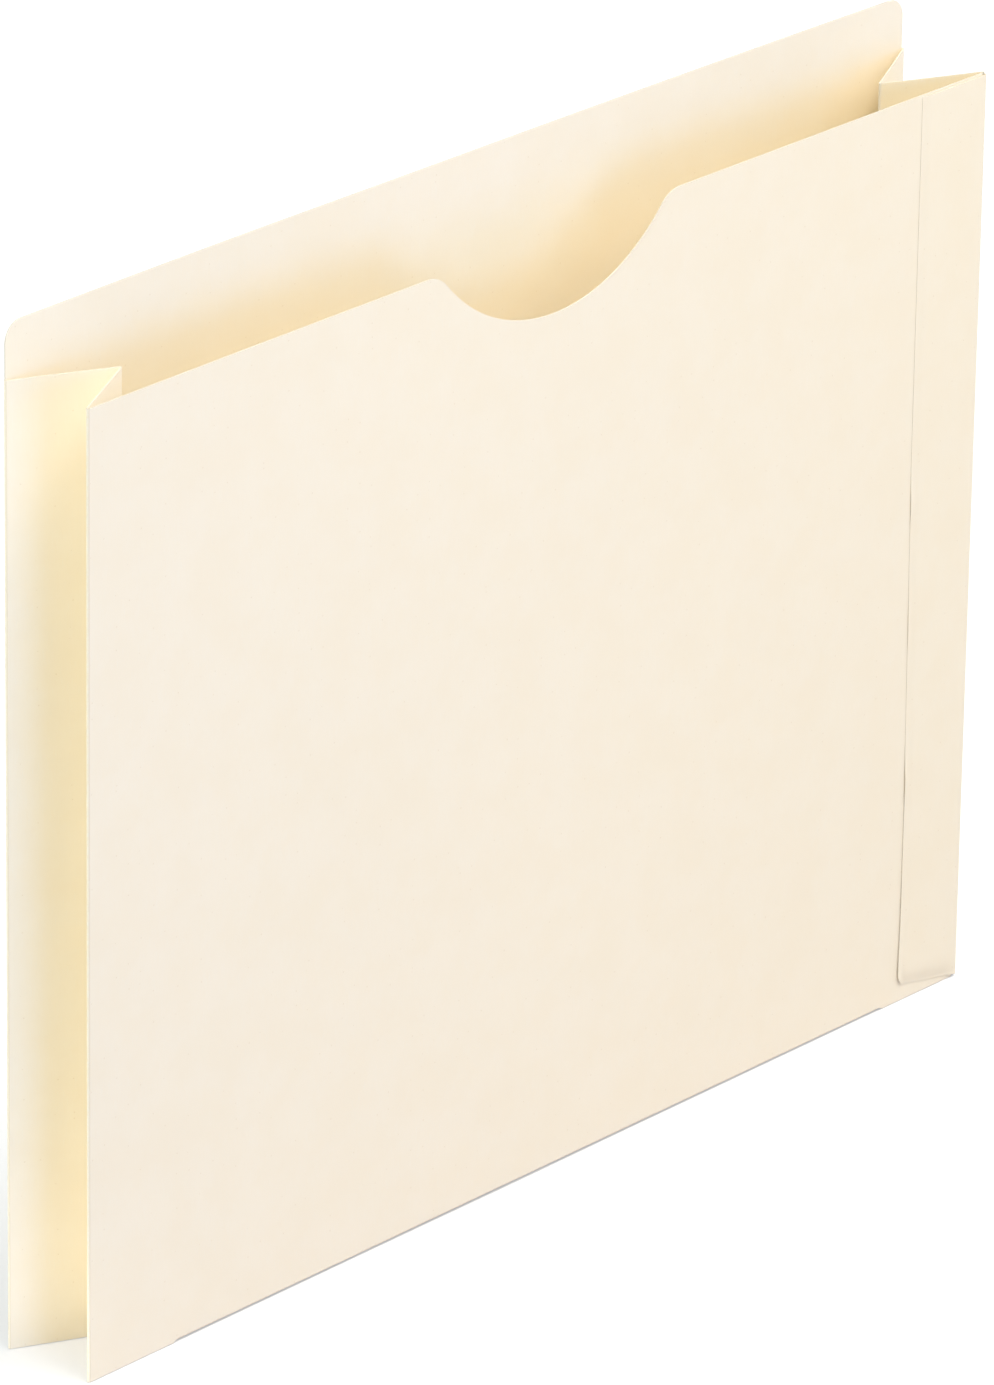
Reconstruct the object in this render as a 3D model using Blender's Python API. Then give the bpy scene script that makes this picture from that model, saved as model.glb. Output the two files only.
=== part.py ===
"""A letter-size file jacket: one sheet of manila stock, scored, folded and glued.

A front and a back panel are joined at each side by a gusset of two leaves that fold inwards,
and below by a bottom of two leaves that fold upwards, so the pocket spreads from flat to full
depth. The back panel stands higher than the front as a straight tab, and the front panel has a
thumb notch. Sizes are in metres. +Z is up, +X runs along the width and the front faces -Y. The
origin is on the table, below the middle of the pocket.
"""

import math

import bmesh
import bpy
from mathutils import Matrix, Vector

# Panels
JACKET_WIDTH = 0.29845          # fold to fold, 11 3/4 inches
FRONT_HEIGHT = 0.2286           # front panel and side gussets, 9 inches
TAB_RISE = 0.0127               # back panel above the front panel, 1/2 inch
TAB_CORNER = 0.0048             # rounding of the tab's corners
STOCK = 0.00028                 # thickness of the manila stock

# Gussets
LEAF_WIDTH = 0.0254             # one leaf, from score to score, 1 inch
REST_ANGLE = math.radians(27)   # between a panel and the leaf folded from it, as it stands

# Thumb notch
NOTCH_DEPTH = 0.01905           # 3/4 inch
NOTCH_RADIUS = 0.048            # its round bottom
NOTCH_SHOULDER = 0.008          # rounding where it meets the top edge

# Glued laps
SEAM_LAP = 0.0222               # side seam, 7/8 inch wide
BOTTOM_LAP = 0.0222             # bottom's flap, up the rear of the back panel
TAB_LAP = 0.0254                # second ply behind the tab, 1 inch high
LAP_TAPER = 0.0040              # how far a flap's cut end runs in over its width
LAP_CORNER = 0.0030             # rounding of a flap's free corners
LAP_SETBACK = 0.0005            # between a flap's ends and the panel's edges
GLUE = 0.0001                   # thickness of a line of glue
GLUE_MARGIN = 0.0030            # between a line of glue and the edges of its lap
SEAM_LOOSE_END = 0.0300         # lowest stretch of the side seam, which isn't glued

# Clearances
FOLD_CLEARANCE = 0.0003         # between two layers that are folded flat on each other
SCORE_CLEARANCE = 0.0003        # between a leaf's end and its score line
GLUE_CLEARANCE = 0.00005        # between a line of glue and the stock on each side of it
WRAP_CLEARANCE = 0.0006         # where the side seam turns round the front panel's cut edge
END_CLEARANCE = 0.0010          # between the bottom's ends and the side gussets folded flat
TABLE_CLEARANCE = 0.0003        # under the bottom at full spread

# Colours
MANILA = (0.905, 0.815, 0.680)
MANILA_REAR = (0.880, 0.785, 0.640)
DRIED_GLUE = (0.780, 0.700, 0.500)
PAPER_ROUGHNESS = 0.75
GLUE_ROUGHNESS = 0.40

ARC_STEPS = 12                  # straight pieces in each round stretch of an outline

# Places that follow from the sizes. A fold's axis lies half the fold clearance off the faces
# that meet when it is shut, so a leaf's two axes are one layer apart across its thickness.
HALF_WIDTH = JACKET_WIDTH / 2
BACK_HEIGHT = FRONT_HEIGHT + TAB_RISE
AXIS_OFFSET = FOLD_CLEARANCE / 2
LAYER = STOCK + FOLD_CLEARANCE
FOLD_Y = LEAF_WIDTH * math.sin(REST_ANGLE) + LAYER * math.cos(REST_ANGLE)
INNER_FACE_Y = FOLD_Y + AXIS_OFFSET
PANEL_Y = INNER_FACE_Y + STOCK / 2
GLUE_Y = INNER_FACE_Y + STOCK + GLUE_CLEARANCE + GLUE / 2
LAP_Y = GLUE_Y + GLUE / 2 + GLUE_CLEARANCE + STOCK / 2
BOTTOM_FOLD_Z = STOCK + AXIS_OFFSET + TABLE_CLEARANCE
BOTTOM_HALF_LENGTH = HALF_WIDTH - LEAF_WIDTH - END_CLEARANCE
CUT_EDGE_X = HALF_WIDTH - WRAP_CLEARANCE
SEAM_EDGE_X = HALF_WIDTH - SEAM_LAP


def clear_scene():
    """Remove every object, so that the jacket stands alone."""
    for leftover in list(bpy.data.objects):
        bpy.data.objects.remove(leftover, do_unlink=True)


def make_collection(name):
    """Add a collection to the scene."""
    collection = bpy.data.collections.new(name)
    bpy.context.scene.collection.children.link(collection)
    return collection


def add_finish(thing, colour, roughness):
    """Give one sub-part its own material."""
    material = bpy.data.materials.new(f"{thing.name}_finish")
    material.use_nodes = True
    shader = material.node_tree.nodes["Principled BSDF"]
    shader.inputs["Base Color"].default_value = (*colour, 1.0)
    shader.inputs["Roughness"].default_value = roughness
    shader.inputs["Metallic"].default_value = 0.0
    thing.data.materials.append(material)


def score_line(name, parent, place, along, axis):
    """Put an empty on a fold: its X runs along the leaf that swings there, its Z along the fold."""
    score = bpy.data.objects.new(name, None)
    score.empty_display_size = LEAF_WIDTH / 2
    jacket.objects.link(score)
    score.parent = parent
    along = Vector(along)
    axis = Vector(axis)
    turned = Matrix((along, axis.cross(along), axis)).transposed().to_4x4()
    score.matrix_local = Matrix.Translation(place) @ turned
    return score


def leaf(name, score, side, low, high):
    """Make one gusset leaf on its score line. Side says which way its thickness lies from there."""
    length = LEAF_WIDTH - 2 * SCORE_CLEARANCE
    middle = (LEAF_WIDTH / 2, side * (AXIS_OFFSET + STOCK / 2), (low + high) / 2)
    mesh = bpy.data.meshes.new(name)
    shape = bmesh.new()
    box = Matrix.Translation(middle) @ Matrix.Diagonal((length, STOCK, high - low, 1.0))
    bmesh.ops.create_cube(shape, size=1.0, matrix=box)
    shape.to_mesh(mesh)
    shape.free()
    piece = bpy.data.objects.new(name, mesh)
    jacket.objects.link(piece)
    piece.parent = score
    add_finish(piece, MANILA, PAPER_ROUGHNESS)


def gusset(name, score, side, low, high):
    """Make two leaves that are folded to each other at a centre crease, and return that crease."""
    leaf(f"{name}_back_leaf", score, side, low, high)
    swing = side * (math.pi - 2 * REST_ANGLE)
    along = (math.cos(swing), math.sin(swing), 0.0)
    crease = score_line(f"{name}_centre_score", score, (LEAF_WIDTH, side * LAYER, 0.0), along, (0.0, 0.0, 1.0))
    leaf(f"{name}_front_leaf", crease, -side, low, high)
    return crease


def arc(centre, start, end):
    """Points of the arc from start to end, the shorter way round its centre."""
    spoke = start - centre
    sweep = spoke.angle_signed(end - centre)
    turns = [Matrix.Rotation(-sweep * step / ARC_STEPS, 2) for step in range(ARC_STEPS + 1)]
    return [centre + turn @ spoke for turn in turns]


def rounded(corners):
    """Outline through corners given as x, y and radius, each rounded by an arc that touches its edges."""
    outline = []
    for index, (x, y, radius) in enumerate(corners):
        corner = Vector((x, y))
        before = (Vector(corners[index - 1][:2]) - corner).normalized()
        after = (Vector(corners[(index + 1) % len(corners)][:2]) - corner).normalized()
        if radius == 0:
            outline.append(corner)
            continue
        half_angle = before.angle(after) / 2
        centre = corner + (before + after).normalized() * radius / math.sin(half_angle)
        touch = radius / math.tan(half_angle)
        outline += arc(centre, corner + before * touch, corner + after * touch)
    return outline


def rectangle(left, right, low, high):
    """Outline of a square-cut sheet."""
    return rounded([(left, low, 0), (right, low, 0), (right, high, 0), (left, high, 0)])


def notch():
    """Edge of the thumb notch, from right to left: a shoulder, the round bottom and a shoulder."""
    bottom = Vector((0.0, FRONT_HEIGHT - NOTCH_DEPTH + NOTCH_RADIUS))
    half_span = math.sqrt(NOTCH_DEPTH * (2 * NOTCH_RADIUS - NOTCH_DEPTH + 2 * NOTCH_SHOULDER))
    right = Vector((half_span, FRONT_HEIGHT - NOTCH_SHOULDER))
    left = Vector((-half_span, FRONT_HEIGHT - NOTCH_SHOULDER))
    share = NOTCH_SHOULDER / (NOTCH_SHOULDER + NOTCH_RADIUS)
    right_touch = right.lerp(bottom, share)
    left_touch = left.lerp(bottom, share)
    edge = arc(right, Vector((half_span, FRONT_HEIGHT)), right_touch)
    edge += arc(bottom, right_touch, left_touch)[1:-1]
    edge += arc(left, left_touch, Vector((-half_span, FRONT_HEIGHT)))
    return edge


def sheet(name, outline, thickness, middle_y, parent, colour=MANILA, roughness=PAPER_ROUGHNESS):
    """Make a flat sheet that stands square to Y, from an outline in X and Z."""
    curve = bpy.data.curves.new(name, "CURVE")
    curve.dimensions = "2D"
    curve.fill_mode = "BOTH"
    curve.extrude = thickness / 2
    spline = curve.splines.new("POLY")
    spline.points.add(len(outline) - 1)
    for point, (x, y) in zip(spline.points, outline):
        point.co = (x, y, 0.0, 1.0)
    spline.use_cyclic_u = True
    piece = bpy.data.objects.new(name, curve)
    jacket.objects.link(piece)
    upright = Matrix.Translation((0.0, middle_y, 0.0)) @ Matrix.Rotation(math.pi / 2, 4, "X")
    if parent:
        piece.parent = parent
        bpy.context.view_layer.update()
        piece.matrix_parent_inverse = parent.matrix_world.inverted()
    piece.matrix_basis = upright
    add_finish(piece, colour, roughness)
    return piece


def back_panel():
    """Make the back panel with its tab, the tab's second ply and the bottom's flap behind it."""
    tab_low = BACK_HEIGHT - TAB_LAP
    tab_corners = [(HALF_WIDTH, BACK_HEIGHT, TAB_CORNER), (-HALF_WIDTH, BACK_HEIGHT, TAB_CORNER)]
    panel = rounded([(-HALF_WIDTH, 0.0, 0), (HALF_WIDTH, 0.0, 0), *tab_corners])
    ply = rounded([(-HALF_WIDTH, tab_low, 0), (HALF_WIDTH, tab_low, 0), *tab_corners])
    ply_glue = rectangle(-HALF_WIDTH + GLUE_MARGIN + TAB_CORNER, HALF_WIDTH - GLUE_MARGIN - TAB_CORNER,
                         tab_low + GLUE_MARGIN, BACK_HEIGHT - GLUE_MARGIN)
    upper = BOTTOM_HALF_LENGTH - LAP_TAPER
    flap = rounded([(-BOTTOM_HALF_LENGTH, LAP_SETBACK, 0), (BOTTOM_HALF_LENGTH, LAP_SETBACK, 0),
                    (upper, BOTTOM_LAP, LAP_CORNER), (-upper, BOTTOM_LAP, LAP_CORNER)])
    flap_glue = rectangle(-upper + GLUE_MARGIN, upper - GLUE_MARGIN,
                          LAP_SETBACK + GLUE_MARGIN, BOTTOM_LAP - GLUE_MARGIN)
    sheet("back_panel", panel, STOCK, PANEL_Y, None)
    sheet("tab_second_ply", ply, STOCK, LAP_Y, None, MANILA_REAR)
    sheet("tab_glue", ply_glue, GLUE, GLUE_Y, None, DRIED_GLUE, GLUE_ROUGHNESS)
    sheet("bottom_flap", flap, STOCK, LAP_Y, None, MANILA_REAR)
    sheet("bottom_glue", flap_glue, GLUE, GLUE_Y, None, DRIED_GLUE, GLUE_ROUGHNESS)


def front_panel(score):
    """Make the front panel with its notch, and the seam flap glued over its right edge."""
    top = FRONT_HEIGHT - LAP_SETBACK
    panel = rectangle(-HALF_WIDTH, CUT_EDGE_X, 0.0, FRONT_HEIGHT)
    panel[3:3] = notch()
    flap = rounded([(SEAM_EDGE_X, LAP_SETBACK + LAP_TAPER, LAP_CORNER), (HALF_WIDTH, LAP_SETBACK, 0),
                    (HALF_WIDTH, top, 0), (SEAM_EDGE_X, top, 0)])
    flap_glue = rectangle(SEAM_EDGE_X + GLUE_MARGIN, CUT_EDGE_X - GLUE_MARGIN,
                          LAP_SETBACK + SEAM_LOOSE_END, top - GLUE_MARGIN)
    sheet("front_panel", panel, STOCK, -PANEL_Y, score)
    sheet("seam_flap", flap, STOCK, -LAP_Y, score)
    sheet("seam_glue", flap_glue, GLUE, -GLUE_Y, score, DRIED_GLUE, GLUE_ROUGHNESS)


def build_jacket():
    """Fold the jacket: the back panel, both side gussets, the bottom and the front panel."""
    reach = math.cos(REST_ANGLE)
    spread = math.sin(REST_ANGLE)
    upright = (0.0, 0.0, 1.0)
    back_panel()

    left_score = score_line("left_back_score", None, (-HALF_WIDTH, FOLD_Y, 0.0), (reach, -spread, 0.0), upright)
    left_crease = gusset("left_gusset", left_score, -1, 0.0, FRONT_HEIGHT)
    right_score = score_line("right_back_score", None, (HALF_WIDTH, FOLD_Y, 0.0), (-reach, -spread, 0.0), upright)
    gusset("right_gusset", right_score, 1, 0.0, FRONT_HEIGHT)
    bottom_score = score_line("bottom_back_score", None, (0.0, FOLD_Y, BOTTOM_FOLD_Z),
                              (0.0, -spread, reach), (1.0, 0.0, 0.0))
    gusset("bottom", bottom_score, 1, -BOTTOM_HALF_LENGTH, BOTTOM_HALF_LENGTH)

    front_score = score_line("left_front_score", left_crease, (LEAF_WIDTH, LAYER, 0.0),
                             (-reach, spread, 0.0), upright)
    front_panel(front_score)


clear_scene()
jacket = make_collection("file_jacket")
build_jacket()
bpy.context.view_layer.update()
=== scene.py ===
# %% [markdown]
# # A manila file jacket, folded from flat stock
#
# The jacket is one sheet of card stock, scored, folded and glued into a pocket. The CAD model
# gives its flat solids and its fold lines. This lesson lays paper over those solids: each panel
# and leaf becomes a thin sheet that is worked out on a grid, and each fold becomes a narrow bent
# strip between the sheets.
#
# First the frame is loaded. Its solids stay, and their boxes give the measures.

import math

import bpy
import numpy as np
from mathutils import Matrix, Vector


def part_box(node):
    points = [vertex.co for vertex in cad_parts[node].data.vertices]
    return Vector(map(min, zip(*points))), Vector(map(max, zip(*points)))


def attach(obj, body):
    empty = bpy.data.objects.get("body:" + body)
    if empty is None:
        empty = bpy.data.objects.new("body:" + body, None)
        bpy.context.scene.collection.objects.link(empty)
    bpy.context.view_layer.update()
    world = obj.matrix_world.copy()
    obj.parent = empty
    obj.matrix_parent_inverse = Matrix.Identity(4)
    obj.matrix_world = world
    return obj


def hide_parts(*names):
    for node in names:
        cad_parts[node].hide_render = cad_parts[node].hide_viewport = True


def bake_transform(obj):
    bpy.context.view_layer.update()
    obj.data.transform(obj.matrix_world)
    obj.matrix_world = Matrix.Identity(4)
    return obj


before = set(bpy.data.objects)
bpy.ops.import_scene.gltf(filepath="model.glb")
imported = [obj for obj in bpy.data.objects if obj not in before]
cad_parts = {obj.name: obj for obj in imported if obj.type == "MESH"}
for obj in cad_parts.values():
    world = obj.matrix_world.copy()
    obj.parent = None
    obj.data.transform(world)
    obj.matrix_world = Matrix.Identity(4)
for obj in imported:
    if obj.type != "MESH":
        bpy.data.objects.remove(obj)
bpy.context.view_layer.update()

# %% [markdown]
# ## Measures
#
# Every measure that the solids already hold is read from their boxes, so the paper can't drift
# away from them. Only what a box can't tell is written here: the width of one gusset leaf, how
# far it leans out of the panel as the jacket stands, and the room left inside a closed fold.

# %% Read the measures
back_low, back_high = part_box("back_panel")
front_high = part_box("front_panel")[1]
flap_low, flap_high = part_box("seam_flap")
bottom_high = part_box("bottom_flap")[1]
ply_low, ply_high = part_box("tab_second_ply")

half_width = back_high.x
back_height = back_high.z
front_height = front_high.z
stock = back_high.y - back_low.y
panel_y = (back_high.y + back_low.y) / 2
lap_y = (ply_high.y + ply_low.y) / 2
cut_edge_x = front_high.x
bottom_half = bottom_high.x

leaf_width = 0.0254
lean = math.radians(27)
fold_room = 0.00015             # from a fold's axis to the paper round it
fold_radius = fold_room + stock / 2
fold_y = panel_y - fold_radius
fold_z = 0.00073                # height of the bottom's fold lines
print("stock, mm:", round(1000 * stock, 3), " fold lines at y, mm:", round(1000 * fold_y, 3))

# %% [markdown]
# ## A sheet with two faces
#
# Paper looks like paper because it has an edge. A single layer of faces has none, and a Solidify
# modifier would hide the cut edge from the material. So each sheet is made as a closed shell: a
# grid of points for the middle of the stock is moved half a thickness to each side, and four
# strips of faces close the rim. Three things are stored with the mesh for the materials: which
# faces are cut edge, how much hands rub each point, which fades away from the edges, and how
# much painted shade deepens the paper there. Inside the pocket, light passes from sheet to sheet
# and turns golden. A few bounces show only part of that, so the rest is painted into the paper's
# colour as a deeper, golden painted shade.
#
# The UV map is the sheet's place in the flat blank, in metres, so that grain and flecks run on
# over the folds as they do in one real sheet.

# %% Helpers for a closed sheet
def unit(vectors):
    """Each vector divided by its own length."""
    return vectors / np.linalg.norm(vectors, axis=-1, keepdims=True)


def face_normals(middle):
    """At each grid point, the direction along the columns crossed with the one along the rows."""
    return unit(np.cross(np.gradient(middle, axis=1), np.gradient(middle, axis=0)))


def shell_faces(rows, columns):
    """Quads of a two-layer grid: the upper layer, the lower one turned over, and the four rims."""
    upper = np.arange(rows * columns).reshape(rows, columns)
    lower = upper + rows * columns
    def quads(a, b, c, d):
        return np.stack([a, b, c, d], axis=-1).reshape(-1, 4)
    flats = [quads(upper[:-1, :-1], upper[:-1, 1:], upper[1:, 1:], upper[1:, :-1]),
             quads(lower[:-1, :-1], lower[1:, :-1], lower[1:, 1:], lower[:-1, 1:])]
    rims = [quads(lower[0, :-1], lower[0, 1:], upper[0, 1:], upper[0, :-1]),
            quads(upper[-1, :-1], upper[-1, 1:], lower[-1, 1:], lower[-1, :-1]),
            quads(upper[:-1, 0], upper[1:, 0], lower[1:, 0], lower[:-1, 0]),
            quads(lower[:-1, -1], lower[1:, -1], upper[1:, -1], upper[:-1, -1])]
    faces = np.concatenate(flats + rims)
    cut = np.concatenate([np.zeros(sum(map(len, flats))), np.ones(sum(map(len, rims)))])
    return faces, cut


def distance_to_rim(middle):
    """For each grid point, the distance to the nearest point of the grid's own border."""
    rim = np.concatenate([middle[0], middle[-1], middle[:, 0], middle[:, -1]])
    points = middle.reshape(-1, 3)
    return np.sqrt(((points[:, None, :] - rim[None, :, :]) ** 2).sum(-1)).min(1)


print("faces of a shell on 3 by 4 points:", len(shell_faces(3, 4)[0]))

# %% Build a sheet object
rub_reach = 0.0011              # how far from an edge the paper is rubbed


def paper_sheet(name, middle, flat, thickness=stock, rub=None, painted_shade=(0.0, 0.0)):
    """Closed shell: middle plus and minus half the thickness along its normals, with flat as UV.
    painted_shade holds a value or a grid of painted shade for the face along the normals and one for the
    other face."""
    rows, columns = middle.shape[:2]
    half = face_normals(middle) * thickness / 2
    points = np.concatenate([(middle + half).reshape(-1, 3), (middle - half).reshape(-1, 3)])
    faces, cut = shell_faces(rows, columns)
    mesh = bpy.data.meshes.new(name)
    mesh.from_pydata(points, [], faces)
    mesh.polygons.foreach_set("use_smooth", np.ones(len(faces), bool))
    mesh.set_sharp_from_angle(angle=math.radians(35))
    mesh.attributes.new("cut_edge", "FLOAT", "FACE").data.foreach_set("value", cut.astype(np.float32))
    if rub is None:
        rub = np.exp(-distance_to_rim(middle) / rub_reach)
    rub = np.tile(np.ravel(rub), 2).astype(np.float32)
    mesh.attributes.new("rub", "FLOAT", "POINT").data.foreach_set("value", rub)
    # Painted shade: for each point, how far the paper's colour is deepened in place of shade.
    painted_shade = np.concatenate([np.broadcast_to(face, (rows, columns)).ravel() for face in painted_shade])
    mesh.attributes.new("painted_shade", "FLOAT", "POINT").data.foreach_set("value", painted_shade.astype(np.float32))
    corner_point = np.empty(len(mesh.loops), np.int32)
    mesh.loops.foreach_get("vertex_index", corner_point)
    flat = np.concatenate([flat.reshape(-1, 2), flat.reshape(-1, 2) + (0.0, 0.5)])
    mesh.uv_layers.new(name="blank").data.foreach_set("uv", flat[corner_point].astype(np.float32).ravel())
    piece = bpy.data.objects.new(name, mesh)
    bpy.context.scene.collection.objects.link(piece)
    print(f"{name}: {rows} x {columns} points, {2 * len(faces)} triangles")
    return piece


# %% [markdown]
# Grid lines are spaced closely along the edges, where the rub has to fade within a millimetre, and
# widely in the middle, where a panel is nearly flat.

# %% Space the grid lines
def stations(start, end, step=0.006, first=0.0003):
    """Places from start to end: steps that grow by 1.7 from each end until they reach step."""
    length = abs(end - start)
    ramp = np.cumsum(np.minimum(first * 1.7 ** np.arange(200), step))
    ramp = np.concatenate([[0.0], ramp[ramp < length / 2 - first / 2]])
    return start + np.sign(end - start) * np.concatenate([ramp, length - ramp[::-1]])


def corner_drop(from_edge, radius):
    """Height lost under a rounded corner: radius less the circle's height, zero beyond the radius."""
    inside = np.clip(radius - from_edge, 0.0, radius)
    return radius - np.sqrt(radius ** 2 - inside ** 2)


def soft_step(share):
    """Three times the square of the share less twice its cube, with the share held between 0 and 1."""
    share = np.clip(share, 0.0, 1.0)
    return share ** 2 * (3 - 2 * share)


print("stations on a 25.4 mm leaf:", len(stations(0.0, leaf_width, 0.003)))

# %% [markdown]
# ## How the panels bow
#
# Card stock that has been creased never stands quite flat. Seen along its top edge, the back
# panel bellies out a little behind and the front panel leans in by less. The bow is largest in
# the middle of the top edge and dies away towards the side folds and the table, because the folds
# hold the paper straight there. A faint cockle is laid over it. Both stay small beside the folds,
# so that the jacket still shuts flat.

# %% Bow and cockle
def bow(x, z, depth, height):
    """depth, times one less the squared share of the half width, times the squared share of the height."""
    return depth * np.clip(1 - (x / half_width) ** 2, 0.0, 1.0) * (z / height) ** 2


def cockle(x, z, size):
    """Sum of three slow waves in x and z, held to zero at the side folds and at the table."""
    waves = (np.sin(31 * x + 17 * z + 0.6) + 0.7 * np.sin(-22 * x + 38 * z + 2.1)
             + 0.5 * np.sin(57 * x + 9 * z + 4.0))
    hold = np.clip(1 - (x / half_width) ** 2, 0.0, 1.0) * np.clip(z / 0.12, 0.0, 1.0)
    return size * waves * hold


def back_curve(x, z):
    """Set-back of the back panel from its plane, along +Y."""
    return bow(x, z, 0.0012, back_height) + cockle(x, z, 0.00010)


def front_curve(x, z):
    """Set-in of the front panel from its plane, along +Y."""
    return bow(x, z, 0.0005, front_height) + cockle(x, z + 0.2, 0.00009)


print("bow at the top, mm: back", round(1000 * back_curve(0.0, back_height), 2),
      " front", round(1000 * front_curve(0.06, front_height), 2))

# %% [markdown]
# ## The back panel and its tab
#
# The back panel carries everything else. Its outline is a rectangle with two rounded corners at
# the top of the tab, and a step in its lower edge where the bottom's flap is wrapped round it. An
# outline like this needs no modelling tool: at each x the sheet runs from a lower to an upper
# height, and the rows of the grid are spread between the two. The tab stands in the light and is left
# pale. Below the front panel's edge the inner face gets a painted shade, most of all in the
# right-hand corner.

# %% Make the back panel
tab_corner = 0.0048
slit = 0.0002                   # width of the cut at each end of the bottom's fold
wrap_room = 0.0001              # between the panel's lower edge and the fold wrapped round it
shade_start = 0.006              # how far above the front panel's edge the painted shade begins
shade_height = 0.022             # height over which it comes in, downwards
corner_start, corner_width = 0.060, 0.070  # where along x it deepens further, and over what width


def columns_with_tab_corners():
    """Places along x: even steps, with the two tab corners sampled by equal angles of their arcs."""
    arc = half_width - tab_corner + tab_corner * np.sin(np.linspace(0.0, math.pi / 2, 14))
    slits = [bottom_half, bottom_half + slit]
    middle = stations(-half_width, half_width, 0.006)
    middle = middle[np.abs(middle) < half_width - tab_corner - 0.0004]
    return np.unique(np.concatenate([-arc, middle, arc, slits, np.negative(slits)]))


def upright_sheet(x, low, high, share, fade, y_of):
    """Grid over x and share: z runs from low to the tallest height, less what the outline loses
    there, faded in by share to the power fade; y comes from y_of(x, z)."""
    top = high.max()
    z = low + share[:, None] * (top - low) - (top - high) * share[:, None] ** fade
    x = np.broadcast_to(x, z.shape)
    return np.stack([x, y_of(x, z), z], axis=-1)


x = columns_with_tab_corners()
over_wrap = np.where(np.abs(x) <= bottom_half, fold_z + wrap_room, 0.0)
tab_top = back_height - corner_drop(half_width - np.abs(x), tab_corner)
share = stations(0.0, back_height, 0.005) / back_height
back_middle = upright_sheet(x, over_wrap, tab_top, share, 24, lambda x, z: panel_y + back_curve(x, z))
# Painted shade on the back panel's inner face: deeper below the front panel's edge, deeper still towards
# the right-hand corner.
pocket_shade = soft_step((front_height + shade_start - back_middle[..., 2]) / shade_height)
corner_shade = soft_step((back_middle[..., 0] - corner_start) / corner_width)
pocket_shade = pocket_shade * (0.75 + 0.25 * corner_shade)
back_sheet = paper_sheet("back_sheet", back_middle, back_middle[..., [0, 2]], painted_shade=(pocket_shade, 0.0))
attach(back_sheet, "back")
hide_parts("back_panel")

# %% [markdown]
# The tab is doubled by a second strip of stock glued behind it. Its outline is the tab's, drawn in
# by a hair so that no edge shows from the front, with a straight cut edge below. It follows the
# back panel's bow one layer further out.

# %% Double the tab
share = stations(0.0, back_height - ply_low.z, 0.002) / (back_height - ply_low.z)
ply_inset = 0.0004
ply_draw = 1 - 2 * ply_inset / half_width
ply_bottom = np.full_like(x, ply_low.z)
ply_middle = upright_sheet(x * ply_draw, ply_bottom, tab_top - ply_inset, share, 4,
                           lambda x, z: lap_y + back_curve(x, z))
ply_place = (0.31, 0.0)         # where the strip was cut from the blank
tab_ply = paper_sheet("tab_ply", ply_middle, ply_middle[..., [0, 2]] + ply_place)
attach(tab_ply, "back")
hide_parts("tab_second_ply")

# %% [markdown]
# ## The front panel and its thumb notch
#
# The notch is cut with one die: a round bottom with a small round shoulder at each side that
# touches both the bottom and the top edge. As a function of x it is three circles, so it needs no
# boolean. The columns are set at equal angles along those circles, which keeps the cut smooth.

# %% Shape the notch
notch_depth = 0.01905
notch_radius = 0.048
shoulder = 0.008
notch_half = math.sqrt(notch_depth * (2 * notch_radius - notch_depth + 2 * shoulder))
touch = math.asin(notch_half / (notch_radius + shoulder))


def notch_drop(x):
    """Depth of the notch below the top edge: a circle in the middle, a turned one at each side."""
    off = np.abs(x)
    middle = notch_depth - notch_radius + np.sqrt(np.clip(notch_radius ** 2 - off ** 2, 0.0, None))
    side = shoulder - np.sqrt(np.clip(shoulder ** 2 - (off - notch_half) ** 2, 0.0, None))
    return np.where(off < notch_radius * math.sin(touch), middle, np.where(off < notch_half, side, 0.0))


def columns_with_notch():
    """Places along x: the notch's circles by equal angles, even steps on each side of it."""
    bottom = notch_radius * np.sin(np.linspace(-touch, touch, 49))
    side = notch_half - shoulder * np.sin(np.linspace(0.0, touch, 13))
    left = stations(-half_width, -notch_half, 0.006)
    right = stations(notch_half, cut_edge_x, 0.006)
    slits = [bottom_half, bottom_half + slit]
    places = np.concatenate([left, -side, bottom, side, right, slits, np.negative(slits)])
    return np.unique(np.round(places, 7))


print("notch span, mm:", round(2000 * notch_half, 1))

# %% Make the front panel
x = columns_with_notch()
over_fold = np.where(np.abs(x) <= bottom_half, fold_z, 0.0)
share = stations(0.0, front_height, 0.005) / front_height
front_middle = upright_sheet(x, over_fold, front_height - notch_drop(x), share, 7,
                             lambda x, z: front_curve(x, z) - panel_y)
front_place = (0.36, 0.0)       # the panel's place in the blank
flat = front_middle[..., [0, 2]] + front_place
# The front's outer face is toned a little deeper all over, and a painted shade deepens it more towards the
# right. Its inner face, in the pocket, gets a strong painted shade.
outside = 0.29 + 0.11 * front_middle[..., 0] / half_width
inside = 0.75
front_sheet = paper_sheet("front_sheet", front_middle, flat, painted_shade=(outside, inside))
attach(front_sheet, "front")
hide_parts("front_panel")

# %% [markdown]
# ## The gusset leaves
#
# A side gusset is two leaves that fold inwards between the panels. Each leaf is a flat strip from
# one fold line to the next, so its grid is a straight run across the strip and a straight run up
# it. A strip of stock twists very slightly along its length, and here that twist is less than the
# room in a closed fold. A leaf's outer face is left pale along the panel and given a painted shade
# towards the centre crease and lower down, where it is tucked away from the light. Its face in the
# pocket gets painted shade as well: all over on the right, more of it lower down on the left.

# %% Make the four side leaves
leaf_run = stations(0.0, leaf_width, 0.003)
leaf_rise = stations(0.0, front_height, 0.008)
leaf_belly = 0.00009            # how far a leaf twists out of its plane
tuck_reach = 0.012              # from the panel's fold to where the painted shade is full


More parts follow.
